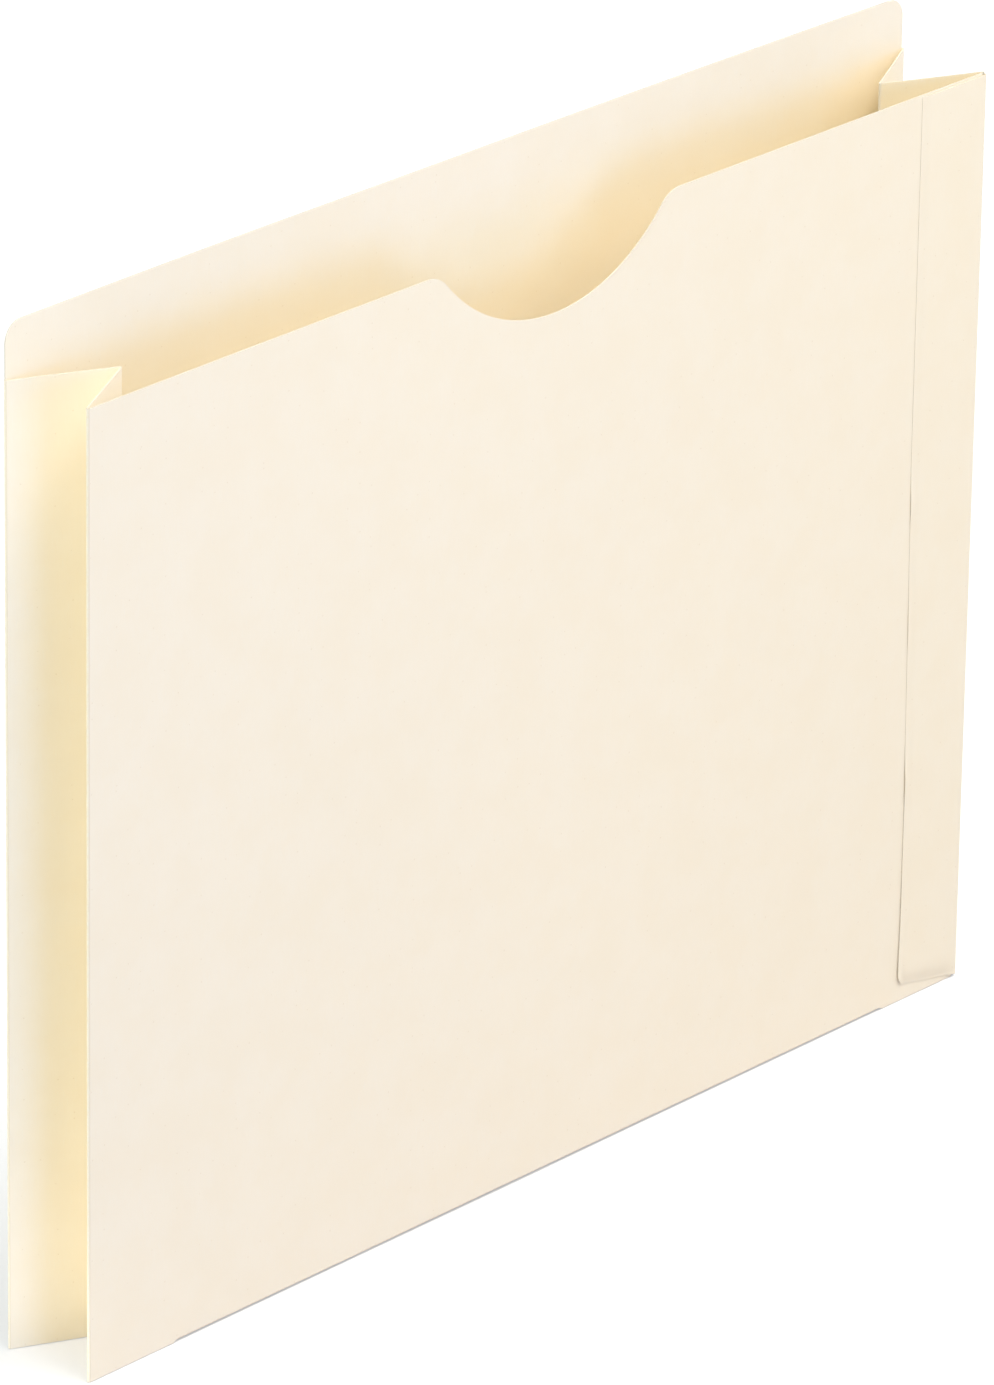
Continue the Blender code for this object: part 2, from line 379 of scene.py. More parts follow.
def leaf_middle(side, toward, run, rise):
    """Point on the leaf: its fold line, plus run along the lean, plus the fold radius outwards, plus
    half a sine wave across the leaf. side is -1 on the left; toward is 1 for the back leaf."""
    run, rise = np.meshgrid(run, rise)
    belly = leaf_belly * np.sin(math.pi * run / leaf_width) * np.sin(24 * rise + 1.3 * toward + side)
    out = fold_radius + belly
    px = side * (half_width - run * math.cos(lean) + out * math.sin(lean))
    py = toward * (fold_y - run * math.sin(lean) - out * math.cos(lean))
    return np.stack([px, py, rise], axis=-1), np.stack([run, rise], axis=-1)


leaf_sheets = []
for side_name, side in (("left", -1), ("right", 1)):
    for part, toward in (("back", 1), ("front", -1)):
        middle, flat = leaf_middle(side, toward, leaf_run, leaf_rise)
        start = 0.70 + 0.03 * side + 0.015 * toward
        # Painted shade: tucked_shade on the leaf's outer face, and inside on its face in the pocket.
        down = front_height - middle[..., 2]
        tucked_shade = 0.58 * soft_step((down + 0.030) / 0.060) * soft_step(flat[..., 0] / tuck_reach)
        inside = 1.0 if side > 0 else 0.75 * soft_step((down - 0.010) / 0.030)
        painted_shade = (inside, tucked_shade) if side == toward else (tucked_shade, inside)
        piece = paper_sheet(f"{side_name}_{part}_leaf_sheet", middle, flat + (start, 0.0), painted_shade=painted_shade)
        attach(piece, f"{side_name}_{part}_leaf")
        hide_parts(f"{side_name}_gusset_{part}_leaf")
        leaf_sheets.append(piece)

# %% [markdown]
# The bottom is folded in the same way, turned on its side: two leaves run up into the pocket from
# fold lines along the lower edges of the panels. They are cut short at both ends, so that they
# clear the side gussets when those fold flat.

# %% Make the bottom leaves
bottom_run = stations(0.0, leaf_width, 0.003)
bottom_length = stations(-bottom_half, bottom_half, 0.008)
bottom_belly = 0.00006


def bottom_middle(toward):
    """Point on a bottom leaf: its fold line, plus run along the lean, plus the fold radius outwards,
    plus half a sine wave across the leaf."""
    run, length = np.meshgrid(bottom_run, bottom_length)
    out = fold_radius + bottom_belly * np.sin(math.pi * run / leaf_width) * np.sin(20 * length + toward)
    py = toward * (fold_y - run * math.sin(lean) - out * math.cos(lean))
    pz = fold_z + run * math.cos(lean) - out * math.sin(lean)
    return np.stack([length, py, pz], axis=-1), np.stack([length, run], axis=-1)


for part, toward, node in (("rear", 1, "bottom_back_leaf"), ("fore", -1, "bottom_front_leaf")):
    middle, flat = bottom_middle(toward)
    piece = paper_sheet(f"bottom_{part}_leaf_sheet", middle, flat + (0.2, 0.26 + 0.03 * toward))
    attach(piece, f"bottom_{part}_leaf")
    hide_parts(node)
    leaf_sheets.append(piece)

# %% [markdown]
# ## The folds
#
# A crease in thick stock isn't a line. The paper turns round a small radius, and that round is what
# catches the light along the jacket's edges. Each fold is a profile, an arc about the fold's own
# axis, carried along a straight path. The arc's axis is the joint's axis.

# %% Carry a fold profile along a path
def arc_profile(first, last, steps=15):
    """Points of an arc about the origin with the fold radius, from the first to the last angle."""
    angle = np.radians(np.linspace(first, last, steps))
    return fold_radius * np.stack([np.cos(angle), np.sin(angle)], axis=-1)


# Painted shade on both faces of every fold strip, so that the folds in the pocket match the painted shade
# of the sheets round them.
fold_painted_shade = (0.4, 0.4)          # the same on both faces


def carry(profile, place, across, up, path):
    """Grid of the profile's two coordinates along across and up, moved along the path's own axis."""
    along = np.cross(across, up)
    return (np.asarray(place) + profile[None, :, :1] * across + profile[None, :, 1:] * up
            + path[:, None, None] * along)


def fold_strip(name, profile, place, across, up, path, start):
    """Strip of stock along a fold; the rub is strongest on the crown, in the middle of the profile."""
    middle = carry(profile, place, np.asarray(across, float), np.asarray(up, float), path)
    step = np.linalg.norm(np.diff(profile, axis=0), axis=1)
    run = np.concatenate([[0.0], np.cumsum(step)])
    run, along = np.meshgrid(run, path)
    crown = np.sin(math.pi * run / run.max()) ** 2
    flat = np.stack([run + start, along], axis=-1)
    return paper_sheet(name, middle, flat, rub=crown, painted_shade=fold_painted_shade), middle


# %% Make the side folds
fold_path = stations(0.0, front_height, 0.010)
centre_x = half_width - leaf_width * math.cos(lean) + (stock + 2 * fold_room) * math.sin(lean)
tilt = math.degrees(lean)
x_axis, y_axis, z_axis = np.eye(3)
folds = []


def side_fold(name, side, place, first, last):
    """Fold beside a leaf; on the right-hand side the profile is mirrored, so its angles turn over."""
    if side > 0:
        first, last = 180 - first, 180 - last
    strip, middle = fold_strip(name, arc_profile(first, last), place, x_axis, y_axis, fold_path, 0.9)
    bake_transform(strip)
    folds.append(strip)


for side_name, side in (("left", -1), ("right", 1)):
    side_fold(f"{side_name}_back_fold_strip", side, (side * half_width, fold_y, 0.0),
              90, 270 - tilt)
    side_fold(f"{side_name}_centre_fold_strip", side, (side * centre_x, 0.0, 0.0),
              90 - tilt, tilt - 90)
side_fold("left_front_fold_strip", -1, (-half_width, -fold_y, 0.0),
          90 + tilt, 270)

# %% [markdown]
# At the right, the front fold is where the sheet's two ends meet: the last leaf turns round the
# front panel's cut edge and becomes the seam flap, glued on the outside. No joint is left for this
# fold, since the pocket's other folds already set its angle. So it is made of two sleeves. The outer
# one is part of an ellipse, because it has to reach one layer further out, and rides on the front
# panel. The inner one is an arc about the fold's axis that turns with the leaf, a hair inside the
# other, so they slide past each other and the fold never gapes.

# %% Make the seam's fold and the flap
def wrap_profile(gap, last, width, steps=19):
    """Arc of an ellipse that starts level with the flap's layer, gap away from the fold's axis. It is
    so tall that it would meet the leaf at the leaf's own angle, and it stops at the last angle."""
    angle = np.radians(np.linspace(-90, last, steps))
    tall = (gap + fold_radius * math.cos(lean)) / (1 + math.cos(lean))
    return np.stack([width * np.cos(angle), tall * (1 + np.sin(angle)) - gap], axis=-1)


lap_gap = lap_y - fold_y
seam_axis = (half_width, -fold_y, 0.0)
wrap_path = stations(flap_low.z, flap_high.z, 0.010)
seam_wide, rear_wide = 0.00060, 0.00036  # how far the two wraps stand out from their axes
seam_fold = fold_strip("seam_fold_strip", wrap_profile(lap_gap, 22, seam_wide), seam_axis,
                       x_axis, y_axis, wrap_path, 0.94)[0]
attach(seam_fold, "front")
seam_sleeve = fold_strip("seam_sleeve_strip", arc_profile(90 - tilt, -45), seam_axis,
                         x_axis, y_axis, fold_path, 0.93)[0]
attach(seam_sleeve, "right_front_leaf")
folds += [seam_fold, seam_sleeve]

flap_taper, flap_corner = 0.0040, 0.0030
press_reach = 0.0030            # how far in from the flap's free edges the paper is pressed thin


def free_edge_gap(z):
    """Gap behind the flap's free edge: next to none above, three small gapes, and a slow opening below."""
    gapes = ((0.1275, 0.0040, 0.00016), (0.0970, 0.0060, 0.00010), (0.0565, 0.0050, 0.00022))
    opening = 0.00010 * np.clip((0.036 - z) / 0.012, 0, 1) + 0.00018 * np.clip((0.014 - z) / 0.008, 0, 1)
    return opening + sum(size * np.exp(-((z - place) / spread) ** 2) for place, spread, size in gapes)


def flap_middle():
    """Seam flap: columns run from the fold to the free edge, rows up it. Its lower end rises by the
    taper across the flap and by the rounded corner. Below, the free edge was cut a little narrower.
    Near the free edges the paper is thinner, and it bends in from its own layer to the panel."""
    width = flap_high.x - flap_low.x
    corner = width - flap_corner + flap_corner * np.sin(np.linspace(0, math.pi / 2, 12))
    off = np.unique(np.concatenate([stations(0.0, width - flap_corner, 0.002), corner]))
    rise = stations(0.0, 1.0, 0.008, 0.0015)
    low = flap_low.z + flap_taper * off / width + corner_drop(width - off, flap_corner)
    z = low + rise[:, None] * (flap_high.z - low)
    off = np.broadcast_to(off, z.shape)
    drift = 0.0014 * np.clip((0.140 - z) / 0.090, 0, 1) * (1 - np.exp(-z / 0.009))
    px = flap_high.x - off * (1 - drift / width)
    at_side = soft_step(1 - (width - off) / press_reach)
    at_end = soft_step(1 - (z - low) / press_reach) * soft_step(off / 0.004)
    pressed = 1 - (1 - at_side) * (1 - at_end)
    thin = stock * (0.3 + 0.5 * at_side * soft_step((0.070 - z) / 0.030))
    gap = 0.00002 + at_side * free_edge_gap(z)
    thickness = stock + pressed * (thin - stock)
    layer = (1 - pressed) * (lap_y - panel_y) + pressed * ((stock + thin) / 2 + gap)
    middle = np.stack([px, front_curve(px, z) - panel_y - layer, z], axis=-1)
    return middle, np.stack([off + 0.945, z], axis=-1), thickness[..., None]


middle, flat, thickness = flap_middle()
# Painted shade on both faces of the seam flap, a little deeper than the front panel's at the right.
flap_painted_shade = (0.45, 0.45)
seam_flap = paper_sheet("seam_flap_sheet", middle, flat, thickness, painted_shade=flap_painted_shade)
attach(seam_flap, "front")
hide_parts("seam_flap")

# %% [markdown]
# The bottom has three folds of its own. The rear one turns under the back panel and runs on into a
# flap glued up behind it. The front one simply joins the front panel, and rides on it.

# %% Make the bottom's folds and its flap
bottom_path = stations(-bottom_half, bottom_half, 0.010)
profile = wrap_profile(lap_gap, 90 - tilt, rear_wide)[::-1]
strip, middle = fold_strip("bottom_rear_fold_strip", profile * (-1, -1), (0.0, fold_y, fold_z),
                           z_axis, y_axis, bottom_path, 0.97)
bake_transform(strip)
folds.append(strip)

centre_z = fold_z + leaf_width * math.cos(lean) - (stock + 2 * fold_room) * math.sin(lean)
strip, middle = fold_strip("bottom_centre_fold_strip", arc_profile(tilt, 180 - tilt), (0.0, 0.0, centre_z),
                           y_axis, z_axis, bottom_path, 0.98)
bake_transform(strip)
folds.append(strip)

strip = fold_strip("bottom_front_fold_strip", arc_profile(360 - tilt, 180), (0.0, -fold_y, fold_z),
                   y_axis, z_axis, bottom_path, 0.99)[0]
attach(strip, "front")
folds.append(strip)


def bottom_flap_middle():
    """Bottom's flap: half its length shrinks by the taper with height, and its corners are rounded."""
    height = bottom_high.z - fold_z
    share = stations(0.0, height, 0.002) / height
    inner = stations(-1.0, 1.0, 0.04, 0.002)
    flap_half = bottom_half - flap_taper
    inner = inner[np.abs(inner) < 1 - flap_corner / flap_half]
    arc = (flap_half - flap_corner + flap_corner * np.sin(np.linspace(0, math.pi / 2, 12))) / flap_half
    across = np.concatenate([-arc[::-1], inner, arc])
    drop = corner_drop((1 - np.abs(across)) * flap_half, flap_corner)
    z = fold_z + share[:, None] * height - drop * share[:, None] ** 4
    px = across * (bottom_half - flap_taper * (z - fold_z) / height)
    return np.stack([px, lap_y + back_curve(px, z), z], axis=-1)


middle = bottom_flap_middle()
bottom_flap = paper_sheet("bottom_flap_sheet", middle, middle[..., [0, 2]] + (0.2, 0.3))
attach(bottom_flap, "back")
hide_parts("bottom_flap")

# %% [markdown]
# ## The glue
#
# Each lap is held by a line of glue that was rolled on and pressed. Pressing pushes its edges into
# small uneven scallops. Only the rims can be seen, from close by, but a jacket without them would
# come apart. A ribbon on a grid, with waves added to its edges, is enough.

# %% Run the glue lines
scallop_size = 0.0003


def glue_line(name, node, curve, body):
    """Ribbon in the CAD line's box: the long edges move in by one plus a product of two sines of the
    place along it."""
    low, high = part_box(node)
    y = (low.y + high.y) / 2
    tall = high.z - low.z > high.x - low.x
    start, end = (low.z, high.z) if tall else (low.x, high.x)
    side_a, side_b = (low.x, high.x) if tall else (low.z, high.z)
    along = np.linspace(start, end, int((end - start) / 0.0015))
    scallop = scallop_size * (1 + np.sin(900 * along) * np.sin(370 * along + 1.0))
    share = np.linspace(0.0, 1.0, 7)[:, None]
    across = (side_a + scallop) * (1 - share) + (side_b - np.roll(scallop, 17)) * share
    along = np.broadcast_to(along, across.shape)
    px, pz = (across, along) if tall else (along, across)
    middle = np.stack([px, y + curve(px, pz), pz], axis=-1)
    piece = paper_sheet(name, middle, middle[..., [0, 2]], thickness=high.y - low.y)
    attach(piece, body)
    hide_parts(node)
    return piece


glue_lines = [glue_line("seam_glue_line", "seam_glue", front_curve, "front"),
              glue_line("tab_glue_line", "tab_glue", back_curve, "back"),
              glue_line("bottom_glue_line", "bottom_glue", back_curve, "back")]

# %% [markdown]
# ## Manila stock
#
# Manila is a plain buff card. From arm's length it is one pale colour. Nearer, the pulp shows as
# faint clouds, the fibres lie along the direction in which the sheet was made, and a few darker
# specks and pale hairs are pressed into the surface. All papers of the jacket share this, so it is
# a node group. It reads the place in the flat blank, in metres, and gives a colour, a roughness and
# a height.

# %% Node helpers
def add(tree, kind, **settings):
    """Add a node and set its properties."""
    node = tree.nodes.new(kind)
    for key, value in settings.items():
        setattr(node, key, value)
    return node


def wire(tree, source, target):
    """Link an output socket to an input socket."""
    tree.links.new(source, target)


def noise(tree, place, scale, detail=2.0, roughness=0.5):
    """Noise texture over the blank; returns its value."""
    node = add(tree, "ShaderNodeTexNoise", noise_dimensions="2D")
    node.inputs["Scale"].default_value = scale
    node.inputs["Detail"].default_value = detail
    node.inputs["Roughness"].default_value = roughness
    wire(tree, place, node.inputs["Vector"])
    return node.outputs["Fac"]


def remap(tree, value, low, high, to_low=0.0, to_high=1.0):
    """Map a value from low..high to to_low..to_high, clamped, with soft ends."""
    node = add(tree, "ShaderNodeMapRange", interpolation_type="SMOOTHSTEP")
    for slot, number in zip(("From Min", "From Max", "To Min", "To Max"), (low, high, to_low, to_high)):
        node.inputs[slot].default_value = number
    wire(tree, value, node.inputs["Value"])
    return node.outputs["Result"]


def stretch(tree, place, scale, turn=0.0):
    """The place turned in the sheet and stretched, so that a round grain becomes a long one."""
    node = add(tree, "ShaderNodeMapping")
    node.inputs["Rotation"].default_value = (0.0, 0.0, turn)
    node.inputs["Scale"].default_value = scale
    wire(tree, place, node.inputs["Vector"])
    return node.outputs["Vector"]


def feed(tree, value, socket):
    """Link a socket to an input, or set the input to a plain value."""
    if isinstance(value, bpy.types.NodeSocket):
        wire(tree, value, socket)
    else:
        socket.default_value = value


def mix(tree, factor, first, second, blend="MIX"):
    """Mix two colours; each of factor, first and second is a socket or a plain value."""
    node = add(tree, "ShaderNodeMix", data_type="RGBA", blend_type=blend, clamp_factor=True)
    feed(tree, factor, node.inputs[0])
    feed(tree, first, node.inputs[6])
    feed(tree, second, node.inputs[7])
    return node.outputs[2]


def sums(tree, operation, first, second):
    """Arithmetic on two values; each is a socket or a number."""
    node = add(tree, "ShaderNodeMath", operation=operation)
    feed(tree, first, node.inputs[0])
    feed(tree, second, node.inputs[1])
    return node.outputs[0]


def scatter(tree, place, scale, largest):
    """Mask of scattered spots: in each cell of a random net, the cell's own random value times the
    largest size, less the distance to the cell's point. Half of the cells stay empty."""
    cells = add(tree, "ShaderNodeTexVoronoi", voronoi_dimensions="2D")
    cells.inputs["Scale"].default_value = scale
    wire(tree, place, cells.inputs["Vector"])
    chance = add(tree, "ShaderNodeSeparateColor")
    wire(tree, cells.outputs["Color"], chance.inputs[0])
    size = remap(tree, chance.outputs[0], 0.5, 1.0, 0.0, largest)
    return remap(tree, sums(tree, "SUBTRACT", size, cells.outputs["Distance"]), 0.0, 0.4 * largest)


def new_group(name, inputs, outputs):
    """Empty node group with named sockets; each input is (name, kind, value)."""
    group = bpy.data.node_groups.new(name, "ShaderNodeTree")
    for label, kind, value in inputs:
        socket = group.interface.new_socket(label, in_out="INPUT", socket_type=kind)
        if value is not None:
            socket.default_value = value
    for label, kind in outputs:
        group.interface.new_socket(label, in_out="OUTPUT", socket_type=kind)
    return group, group.nodes.new("NodeGroupInput").outputs, group.nodes.new("NodeGroupOutput").inputs


# %% Group: pulp, grain and flecks
COLOUR, NUMBER, VECTOR = "NodeSocketColor", "NodeSocketFloat", "NodeSocketVector"
pulp, given, out = new_group(
    "manila_pulp",
    [("Place", VECTOR, None), ("Buff", COLOUR, (0.95, 0.87, 0.73, 1)),
     ("Deep", COLOUR, (0.93, 0.83, 0.66, 1)), ("Flecks", NUMBER, 0.5)],
    [("Colour", COLOUR), ("Roughness", NUMBER), ("Height", NUMBER)])
clouds = remap(pulp, noise(pulp, given["Place"], 70, 4.0, 0.55), 0.30, 0.72)
streaks = noise(pulp, stretch(pulp, given["Place"], (2600, 240, 1)), 1.0, 2.0)
tooth = noise(pulp, given["Place"], 4200, 3.0, 0.6)
specks = scatter(pulp, given["Place"], 260, 0.06)
hairs = sums(pulp, "MAXIMUM", scatter(pulp, stretch(pulp, given["Place"], (1500, 110, 1), 0.6), 1.0, 0.14),
             scatter(pulp, stretch(pulp, given["Place"], (1400, 130, 1), -0.9), 1.0, 0.14))
ground = mix(pulp, sums(pulp, "MULTIPLY", clouds, 0.55), given["Buff"], given["Deep"])
ground = mix(pulp, sums(pulp, "MULTIPLY", remap(pulp, streaks, 0.35, 0.75), 0.30), ground, given["Deep"])
flecked = mix(pulp, sums(pulp, "MULTIPLY", specks, given["Flecks"]), ground, (0.66, 0.52, 0.34, 1))
haired = mix(pulp, sums(pulp, "MULTIPLY", hairs, 0.35), flecked, (0.97, 0.93, 0.85, 1))
wire(pulp, haired, out["Colour"])
wire(pulp, remap(pulp, tooth, 0.2, 0.8, 0.66, 0.84), out["Roughness"])
grain = sums(pulp, "ADD", sums(pulp, "MULTIPLY", tooth, 0.7), sums(pulp, "MULTIPLY", streaks, 0.3))
wire(pulp, sums(pulp, "ADD", grain, sums(pulp, "MULTIPLY", hairs, 0.25)), out["Height"])
print("pulp group:", len(pulp.nodes), "nodes")

# %% [markdown]
# Edges and folds are handled most, so their skin is broken: the fibres stand up and look paler. The
# cut edges are multiplied by grey, a painted shade that keeps them from showing as bright lines.
# The sheets carry how near each point lies to an edge, and this second group breaks that up into
# small uneven patches.

# %% Group: rubbed edges
rubbed_and_shaded, given, out = new_group(
    "rubbed_and_shaded_edge",
    [("Place", VECTOR, None), ("Rub", NUMBER, 0.0), ("Cut", NUMBER, 0.0), ("Amount", NUMBER, 0.5),
     ("Colour", COLOUR, (0.9, 0.8, 0.7, 1)), ("Pale", COLOUR, (0.96, 0.90, 0.78, 1))],
    [("Colour", COLOUR), ("Fuzz", NUMBER)])
patches = remap(rubbed_and_shaded, noise(rubbed_and_shaded, given["Place"], 1300, 3.0, 0.6), 0.34, 0.66)
worn = sums(rubbed_and_shaded, "MULTIPLY", sums(rubbed_and_shaded, "MULTIPLY", given["Rub"], patches), given["Amount"])
paler = mix(rubbed_and_shaded, worn, given["Colour"], given["Pale"])
layers = noise(rubbed_and_shaded, stretch(rubbed_and_shaded, given["Place"], (3000, 3000, 1)), 1.0, 2.0)
core = mix(rubbed_and_shaded, layers, given["Pale"], given["Colour"])
# Painted shade: the cut edge's colour is multiplied by grey, so cut edges don't show as bright lines.
core = mix(rubbed_and_shaded, 1.0, core, (0.68, 0.67, 0.66, 1), "MULTIPLY")
wire(rubbed_and_shaded, mix(rubbed_and_shaded, sums(rubbed_and_shaded, "MULTIPLY", given["Cut"], 0.8), paler, core), out["Colour"])
wire(rubbed_and_shaded, sums(rubbed_and_shaded, "MAXIMUM", worn, sums(rubbed_and_shaded, "MULTIPLY", given["Cut"], layers)), out["Fuzz"])
print("rubbed edge group:", len(rubbed_and_shaded.nodes), "nodes")

# %% [markdown]
# The papers differ only in their values. The panels and leaves are the clean stock, the folds are the
# same stock with a worn crown, and the strips behind the jacket come from a slightly deeper batch. The
# left-hand folds, which face a window, get a darker buff, a painted shade: as clean as the panels,
# they would show as white lines. Where a sheet carries painted shade, the pulp is multiplied by a
# deeper buff.

# %% Make the paper finishes
# Painted shade: the colour that multiplies the pulp where a sheet's painted_shade attribute says.
painted_shade_tint = (1.0, 0.965, 0.84, 1)


def paper_finish(name, buff, deep, pale, wear, flecks):
    """Principled paper: the pulp group, deepened by the sheet's painted shade, then rubbed edges with a
    grey painted shade on the cut edges, and a bump.
    """
    finish = bpy.data.materials.new(name)
    finish.use_nodes = True
    tree = finish.node_tree
    shader = tree.nodes["Principled BSDF"]
    place = add(tree, "ShaderNodeUVMap", uv_map="blank").outputs["UV"]
    rub = add(tree, "ShaderNodeAttribute", attribute_name="rub").outputs["Fac"]
    cut = add(tree, "ShaderNodeAttribute", attribute_name="cut_edge").outputs["Fac"]
    painted_shade = add(tree, "ShaderNodeAttribute", attribute_name="painted_shade").outputs["Fac"]
    body = add(tree, "ShaderNodeGroup", node_tree=pulp)
    edge = add(tree, "ShaderNodeGroup", node_tree=rubbed_and_shaded)
    body.inputs["Buff"].default_value = (*buff, 1)
    body.inputs["Deep"].default_value = (*deep, 1)
    body.inputs["Flecks"].default_value = flecks
    edge.inputs["Pale"].default_value = (*pale, 1)
    edge.inputs["Amount"].default_value = wear
    wire(tree, place, body.inputs["Place"])
    wire(tree, place, edge.inputs["Place"])
    wire(tree, rub, edge.inputs["Rub"])
    wire(tree, cut, edge.inputs["Cut"])
    colour = mix(tree, painted_shade, body.outputs["Colour"], painted_shade_tint, "MULTIPLY")
    wire(tree, colour, edge.inputs["Colour"])
    wire(tree, edge.outputs["Colour"], shader.inputs["Base Color"])
    wire(tree, body.outputs["Roughness"], shader.inputs["Roughness"])
    bump = add(tree, "ShaderNodeBump")
    bump.inputs["Strength"].default_value = 0.35
    bump.inputs["Distance"].default_value = 0.00004
    wire(tree, sums(tree, "ADD", body.outputs["Height"], edge.outputs["Fuzz"]), bump.inputs["Height"])
    wire(tree, bump.outputs["Normal"], shader.inputs["Normal"])
    shader.inputs["Specular IOR Level"].default_value = 0.25
    return finish


buff, deep = (0.985, 0.914, 0.800), (0.975, 0.888, 0.748)
clean_stock = paper_finish("manila_stock", buff, deep, (0.97, 0.91, 0.80), 0.35, 0.22)
worn_fold = paper_finish("manila_fold", buff, deep, (0.97, 0.92, 0.82), 0.60, 0.20)
# Painted shade: the left-hand folds get a darker buff than the rest of the stock.
buff, deep = (0.915, 0.835, 0.720), (0.900, 0.810, 0.680)
shaded_left_fold = paper_finish("manila_painted_shade_fold", buff, deep, (0.92, 0.86, 0.76), 0.60, 0.20)
buff, deep = (0.978, 0.902, 0.775), (0.966, 0.874, 0.722)
rear_stock = paper_finish("manila_rear_stock", buff, deep, (0.97, 0.90, 0.78), 0.40, 0.22)
print("nodes in a paper finish:", len(clean_stock.node_tree.nodes))

# %% [markdown]
# Dried glue is clear amber with tiny bubbles, a little glossier than the paper round it.

# %% Make the glue finish
amber_glue = bpy.data.materials.new("amber_glue")
amber_glue.use_nodes = True
tree = amber_glue.node_tree
shader = tree.nodes["Principled BSDF"]
place = add(tree, "ShaderNodeUVMap", uv_map="blank").outputs["UV"]
bubbles = add(tree, "ShaderNodeTexVoronoi", voronoi_dimensions="2D", feature="SMOOTH_F1")
bubbles.inputs["Scale"].default_value = 900
wire(tree, place, bubbles.inputs["Vector"])
spots = remap(tree, bubbles.outputs["Distance"], 0.10, 0.32)
flow = noise(tree, place, 160, 3.0)
amber = mix(tree, remap(tree, flow, 0.3, 0.7), (0.80, 0.71, 0.50, 1), (0.70, 0.58, 0.34, 1))
wire(tree, mix(tree, spots, (0.90, 0.85, 0.70, 1), amber), shader.inputs["Base Color"])
wire(tree, remap(tree, flow, 0.2, 0.8, 0.28, 0.46), shader.inputs["Roughness"])
bump = add(tree, "ShaderNodeBump")
bump.inputs["Distance"].default_value = 0.00005
wire(tree, spots, bump.inputs["Height"])
wire(tree, bump.outputs["Normal"], shader.inputs["Normal"])
print("nodes in the glue's finish:", len(tree.nodes))

# %% Put the finishes on
def dress(pieces, finish):
    """Give pieces one finish."""
    for piece in pieces:
        piece.data.materials.append(finish)


clean_sheets = [back_sheet, front_sheet, seam_flap, *leaf_sheets]
rear_sheets = [tab_ply, bottom_flap]
left_folds = [strip for strip in folds if strip.name.startswith("left")]
dress(clean_sheets, clean_stock)
dress(left_folds, shaded_left_fold)
dress([strip for strip in folds if strip not in left_folds], worn_fold)
dress(rear_sheets, rear_stock)
dress(glue_lines, amber_glue)
print("pieces dressed:", len(clean_sheets) + len(rear_sheets) + len(folds) + len(glue_lines))

# %% [markdown]
# ## The table and the light
#
# The jacket stands on a plain pale table in front of a white wall. Light that strikes the table finds
# dull, warm paint there, so a little warm light comes up from below, as from bare wood. The camera
# sees paler paint with some light of its own, which makes it white and still leaves the jacket's
# shadow on it. That light grows away from the jacket, where the lamps fade.

# %% Lay the table
def seen_by_camera(tree):
    """One for a ray from the camera, a mirror or glass, and zero for a ray that carries light about."""
    path = add(tree, "ShaderNodeLightPath")
    seen = sums(tree, "MAXIMUM", path.outputs["Is Camera Ray"], path.outputs["Is Glossy Ray"])
    return sums(tree, "MAXIMUM", seen, path.outputs["Is Transmission Ray"])


def table_finish():
    """Diffuse paint, warm to light and pale to the camera and mirror-like rays, which also see a glow."""
    finish = bpy.data.materials.new("white_table")
    finish.use_nodes = True
    tree = finish.node_tree
    tree.nodes.clear()
    output = add(tree, "ShaderNodeOutputMaterial")
    paint = add(tree, "ShaderNodeBsdfDiffuse")
    glow = add(tree, "ShaderNodeEmission")
    seen = seen_by_camera(tree)
    wire(tree, mix(tree, seen, (0.47, 0.40, 0.34, 1), (0.60, 0.60, 0.61, 1)), paint.inputs["Color"])
    away = add(tree, "ShaderNodeVectorMath", operation="LENGTH")
    wire(tree, add(tree, "ShaderNodeTexCoord").outputs["Object"], away.inputs[0])
    level = remap(tree, away.outputs["Value"], 0.5, 1.8, 0.37, 1.0)
    wire(tree, sums(tree, "MULTIPLY", seen, level), glow.inputs["Strength"])
    both = add(tree, "ShaderNodeAddShader")
    wire(tree, paint.outputs[0], both.inputs[0])
    wire(tree, glow.outputs[0], both.inputs[1])
    wire(tree, both.outputs[0], output.inputs["Surface"])
    return finish


reach = 9.0
table_z = -0.0002               # a hair below the jacket's edges
corners = reach * np.array([[-1, -1, 0], [1, -1, 0], [1, 1, 0], [-1, 1, 0]]) + (0, 0, table_z)
table_mesh = bpy.data.meshes.new("table")
table_mesh.from_pydata(corners, [], [(0, 1, 2, 3)])
table_mesh.materials.append(table_finish())
table = bpy.data.objects.new("table", table_mesh)
bpy.context.scene.collection.objects.link(table)
print("table, m:", 2 * reach, "by", 2 * reach)

# %% [markdown]
# An even white room gives part of the light. A cool window low in front, a little to the left, throws
# the front panel's soft shadow on the back panel. A window at the left shines into the left gusset, a
# weak one at the right into the other, and one behind lights the back. Two warm skylights reach down
# into the pocket, and a small white card beside the left gusset sends a little light to its foot.

# %% Light the room
room = bpy.data.worlds.new("white_room")
bpy.context.scene.world = room
room.use_nodes = True
tree = room.node_tree
tree.nodes.clear()
output = add(tree, "ShaderNodeOutputWorld")
plain = add(tree, "ShaderNodeBackground")
seen = seen_by_camera(tree)
room_level = 0.440
level = sums(tree, "ADD", sums(tree, "MULTIPLY", seen, 1 - room_level), room_level)
wire(tree, level, plain.inputs["Strength"])
wire(tree, mix(tree, seen, (0.94, 1.0, 0.99, 1), (1.0, 1.0, 1.0, 1)), plain.inputs["Color"])
wire(tree, plain.outputs[0], output.inputs["Surface"])


def stand_at(piece, right, up, back, place):
    """Turn a piece so that its own axes are right, up and back, and put it at a place."""
    turned = np.eye(4)
    turned[:3] = np.stack([right, up, back, place], axis=-1)
    piece.matrix_world = turned.T.tolist()


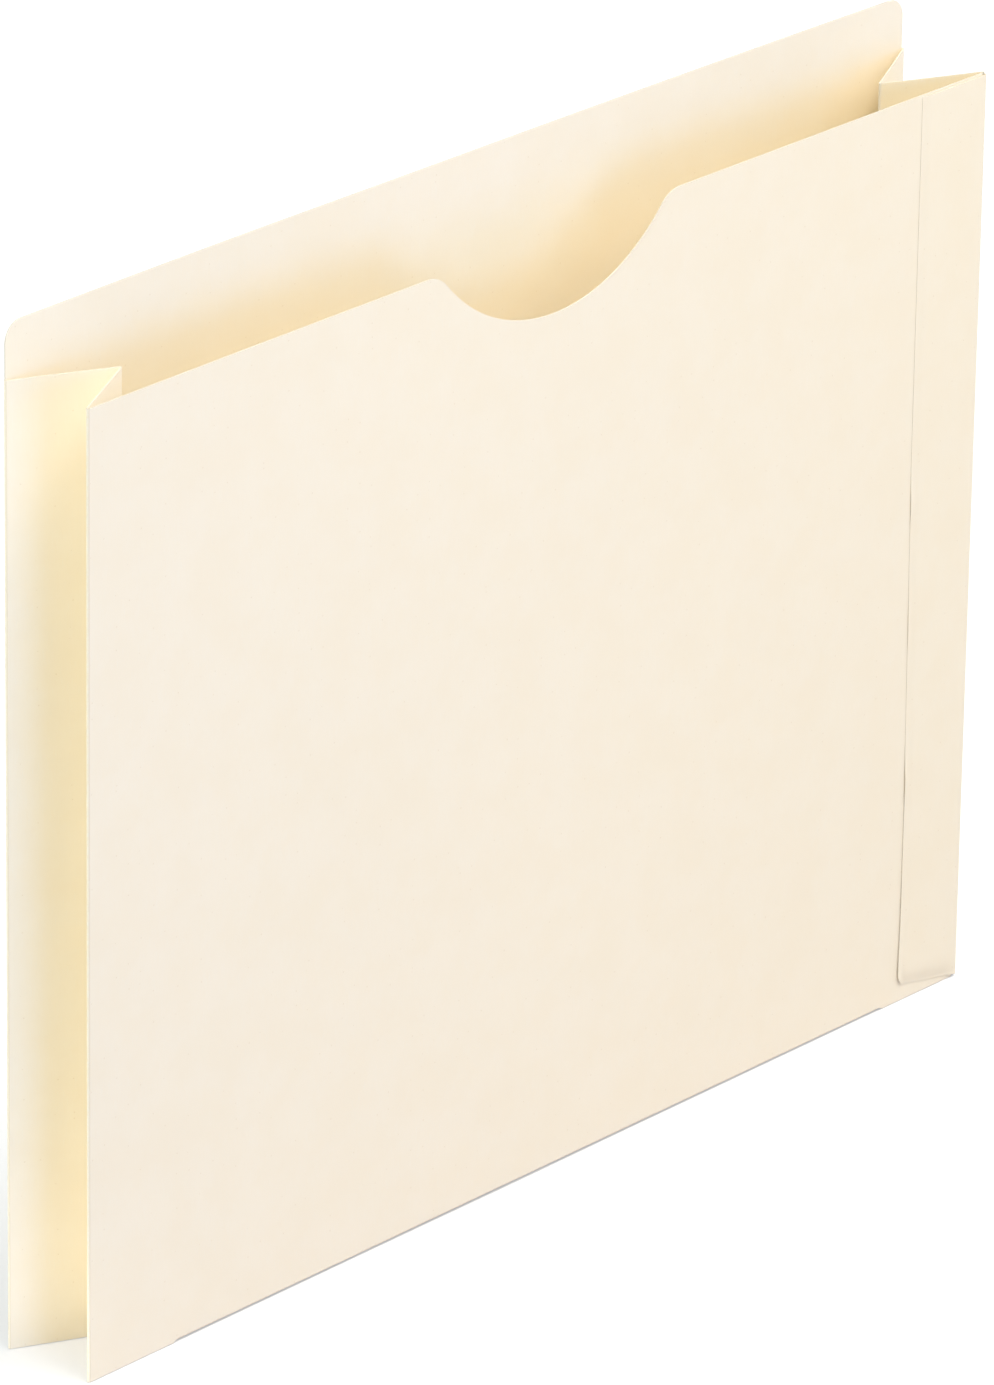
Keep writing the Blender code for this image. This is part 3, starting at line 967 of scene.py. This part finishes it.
def window(name, place, aim, width, height, power, colour):
    """Rectangular lamp at a place, turned to face aim."""
    lamp = bpy.data.lights.new(name, "AREA")
    lamp.shape = "RECTANGLE"
    lamp.size, lamp.size_y = width, height
    lamp.energy = power
    lamp.color = colour
    piece = bpy.data.objects.new(name, lamp)
    bpy.context.scene.collection.objects.link(piece)
    back = unit(np.subtract(place, aim))
    right = unit(np.cross(z_axis, back))
    stand_at(piece, right, np.cross(back, right), back, place)
    piece.visible_camera = False


aim = (0.0, 0.0, 0.12)
window("front_window", (-0.38, -1.05, 0.24), aim, 0.42, 0.44, 2.70, (0.32, 0.545, 1.0))
window("left_window", (-1.70, 0.30, 0.30), aim, 0.90, 0.50, 14.3, (0.87, 0.955, 0.91))
window("rear_window", (-0.20, 1.70, 0.26), aim, 0.90, 0.44, 12.0, (0.84, 0.94, 1.0))
gusset_foot = (-0.14, 0.0, 0.006)
window("left_card", (-0.180, -0.012, 0.009), gusset_foot, 0.03, 0.012, 0.0030, (1.0, 0.96, 0.88))
window("right_window", (1.50, -0.30, 0.60), aim, 0.90, 0.80, 4.95, (0.49, 0.705, 1.0))
window("front_skylight", (0.05, -0.45, 1.70), aim, 1.00, 0.80, 22.7, (1.0, 0.96, 0.88))
window("right_skylight", (0.60, -0.80, 1.40), aim, 1.00, 1.00, 7.6, (1.0, 0.87, 0.70))
print("lamps:", len(bpy.data.lights), " watts:", round(sum(lamp.energy for lamp in bpy.data.lights), 1))

# %% [markdown]
# ## The camera
#
# The jacket is seen from its left, from above, through a long lens: its upright edges are nearly
# parallel and its top and bottom edges meet only slightly. The numbers are the lens and the place
# that put the jacket's eight corners where they belong in a frame of 994 by 1385.

# %% Set the camera
frame_tall = 1385
focal = 10174.4                 # in pixels of that frame
yaw, pitch, roll = np.radians([48.7196, 22.7068, -0.9003])
look = np.array([math.sin(yaw) * math.cos(pitch), math.cos(yaw) * math.cos(pitch), -math.sin(pitch)])
level = np.array([math.cos(yaw), -math.sin(yaw), 0.0])
down = np.cross(look, level)
right = math.cos(roll) * level + math.sin(roll) * down
up = math.sin(roll) * level - math.cos(roll) * down
middle_of_view = np.array([-0.00359, 0.0, 0.11612])
view_distance = 2.29391
eye = middle_of_view - view_distance * look

sensor = 36.0
lens = bpy.data.cameras.new("long_lens")
lens.sensor_width = sensor
lens.lens = focal * sensor / frame_tall
camera = bpy.data.objects.new("camera", lens)
bpy.context.scene.collection.objects.link(camera)
stand_at(camera, right, up, -look, eye)
bpy.context.scene.camera = camera
bpy.context.scene.view_settings.view_transform = "Standard"
print("lens, mm:", round(lens.lens, 1), " eye, m:", np.round(eye, 3))
